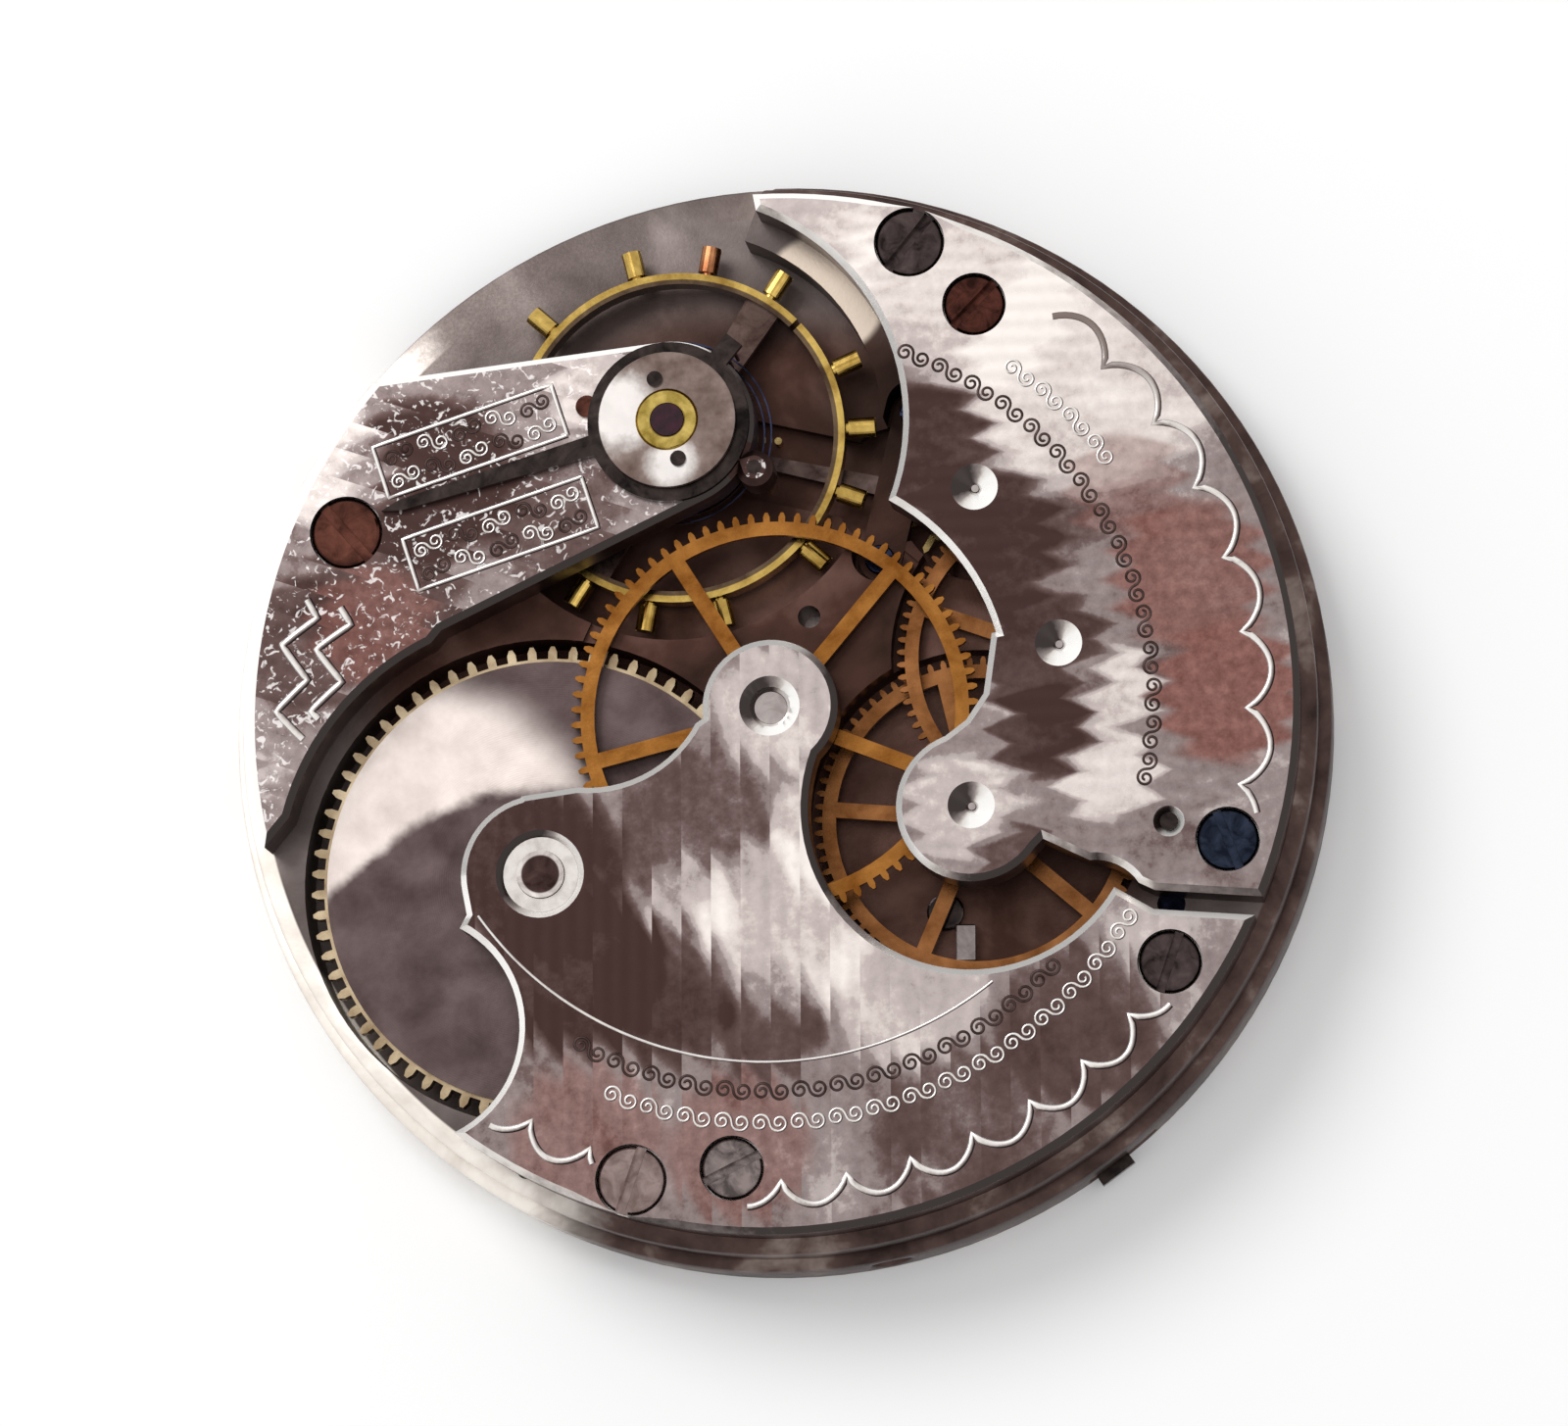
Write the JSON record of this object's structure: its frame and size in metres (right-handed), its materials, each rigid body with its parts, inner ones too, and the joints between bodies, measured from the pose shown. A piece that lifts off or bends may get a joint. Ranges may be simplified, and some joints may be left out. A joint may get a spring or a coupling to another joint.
{
  "type": "pocket watch movement",
  "caption": "Round lever watch movement with separate bridges, open balance with timing screws, spoked going train, toothed barrel and winding work under the plate.",
  "frame": {"origin": "on the centre arbor's axis in the plane of the dial seat", "axes": "+Z from the dial towards the bridges, +X towards the fourth wheel at 6 o'clock, -Y along the winding stem"},
  "size_m": [0.0442, 0.0442, 0.0074],
  "materials": {
    "nickel": "nickel plated, damaskeened",
    "steel": "polished",
    "blued_steel": "blued",
    "brown_steel": "tempered brown",
    "black_steel": "dark polished",
    "gilt_wheel": "gilt",
    "gold": "polished",
    "brass": "satin",
    "ruby": "polished ruby"
  },
  "bodies": {
    "frame": {"main_plate": "nickel", "barrel_bridge": "nickel", "train_bridge": "nickel", "balance_cock": "nickel", "pallet_cock": "nickel", "bridge_screws": "blued_steel", "cock_screw": "brown_steel", "case_screws": "steel", "pallet_cock_screws": "blued_steel", "steady_pins": "steel", "banking_pins": "brass", "endstone_cap": "nickel", "endstone_screws": "blued_steel", "endstone_setting": "gold", "upper_endstone": "ruby", "upper_hole_jewel": "ruby", "lower_hole_jewel": "ruby", "lower_endstone": "ruby", "lower_endstone_plate": "nickel", "hairspring_stud": "steel", "minute_wheel_post": "steel", "dial_foot_screws": "steel", "crown_wheel_screw": "blued_steel", "dial_side_screws": "blued_steel", "click_spring": "steel"},
    "barrel": {"barrel_drum": "brass", "barrel_cover": "nickel", "mainspring": "steel"},
    "arbor": {"barrel_arbor": "steel", "ratchet_wheel": "steel", "ratchet_screw": "blued_steel"},
    "centre": {"centre_wheel": "gilt_wheel", "centre_pinion": "steel", "cannon_pinion": "steel"},
    "third": {"third_wheel": "gilt_wheel", "third_pinion": "steel"},
    "fourth": {"fourth_wheel": "gilt_wheel", "fourth_pinion": "steel"},
    "escape": {"escape_wheel": "brass", "escape_pinion": "steel"},
    "pallets": {"pallet_fork": "steel", "pallet_arbor": "steel", "pallet_stones": "ruby"},
    "balance": {"balance_wheel": "gold", "balance_screws": "gold", "balance_staff": "steel", "impulse_roller": "steel", "impulse_jewel": "ruby", "hairspring_collet": "gold", "hairspring": "blued_steel"},
    "regulator": {"regulator": "black_steel"},
    "minute": {"minute_wheel": "brass"},
    "hour": {"hour_wheel": "brass"},
    "crown": {"crown_wheel": "steel"},
    "winding": {"winding_pinion": "gold"},
    "clutch": {"clutch_sleeve": "steel"},
    "click": {"click": "steel"},
    "setting": {"setting_lever": "black_steel"}
  },
  "joints": [
    {"name": "fourth_turn", "type": "hinge", "parent": "frame", "child": "fourth", "pos_m": [0.01171, 0, 0], "axis": [0, 0, 1], "continuous": true},
    {"name": "third_turn", "type": "hinge", "parent": "frame", "child": "third", "pos_m": [0.00703, -0.00561, 0], "axis": [0, 0, 1], "continuous": true},
    {"name": "centre_turn", "type": "hinge", "parent": "frame", "child": "centre", "pos_m": [0, 0, 0], "axis": [0, 0, 1], "continuous": true},
    {"name": "barrel_turn", "type": "hinge", "parent": "frame", "child": "barrel", "pos_m": [-0.01025, -0.00465, 0], "axis": [0, 0, 1], "continuous": true},
    {"name": "escape_turn", "type": "hinge", "parent": "frame", "child": "escape", "pos_m": [0.00973, 0.00689, 0], "axis": [0, 0, 1], "continuous": true},
    {"name": "minute_turn", "type": "hinge", "parent": "frame", "child": "minute", "pos_m": [0.0021, 0.00364, 0], "axis": [0, 0, 1], "continuous": true},
    {"name": "hour_turn", "type": "hinge", "parent": "frame", "child": "hour", "pos_m": [0, 0, 0], "axis": [0, 0, 1], "continuous": true},
    {"name": "arbor_wind", "type": "hinge", "parent": "frame", "child": "arbor", "pos_m": [-0.01025, -0.00465, 0], "axis": [0, 0, 1], "continuous": true},
    {"name": "crown_turn", "type": "hinge", "parent": "frame", "child": "crown", "pos_m": [0, -0.0122, 0], "axis": [0, 0, 1], "continuous": true},
    {"name": "winding_turn", "type": "hinge", "parent": "frame", "child": "winding", "pos_m": [0, -0.018, 0.00145], "axis": [0, -1, 0], "continuous": true},
    {"name": "balance_swing", "type": "hinge", "parent": "frame", "child": "balance", "pos_m": [-0.0017, 0.01212, 0], "axis": [0, 0, 1], "range_deg": [-270, 270], "stiffness_Nm_per_rad": 0.0000032, "deforming": ["hairspring"]},
    {"name": "pallet_swing", "type": "hinge", "parent": "frame", "child": "pallets", "pos_m": [0.00658, 0.00833, 0], "axis": [0, 0, 1], "range_deg": [-5, 5]},
    {"name": "regulator_turn", "type": "hinge", "parent": "frame", "child": "regulator", "pos_m": [-0.0017, 0.01212, 0], "axis": [0, 0, 1], "range_deg": [-12, 12]},
    {"name": "click_lift", "type": "hinge", "parent": "frame", "child": "click", "pos_m": [-0.01457, 0.00283, 0], "axis": [0, 0, 1], "range_deg": [-8, 0], "stiffness_Nm_per_rad": 0.00001},
    {"name": "lever_pull", "type": "hinge", "parent": "frame", "child": "setting", "pos_m": [0.01387, -0.01084, 0], "axis": [0, 0, 1], "range_deg": [0, 10]},
    {"name": "clutch_slide", "type": "slide", "parent": "frame", "child": "clutch", "axis": [0, 1, 0], "range_m": [0, 0.0008]}
  ],
  "couplings": [
    {"joint": "third_turn", "follows": "fourth_turn", "ratio": -0.13333},
    {"joint": "centre_turn", "follows": "fourth_turn", "ratio": 0.016667},
    {"joint": "barrel_turn", "follows": "fourth_turn", "ratio": -0.0033333},
    {"joint": "escape_turn", "follows": "fourth_turn", "ratio": -10},
    {"joint": "minute_turn", "follows": "fourth_turn", "ratio": -0.0055556},
    {"joint": "hour_turn", "follows": "fourth_turn", "ratio": 0.0013889},
    {"joint": "crown_turn", "follows": "arbor_wind", "ratio": -1.2},
    {"joint": "winding_turn", "follows": "arbor_wind", "ratio": -6},
    {"joint": "clutch_slide", "follows": "lever_pull", "m_per_rad": 0.0045}
  ]
}
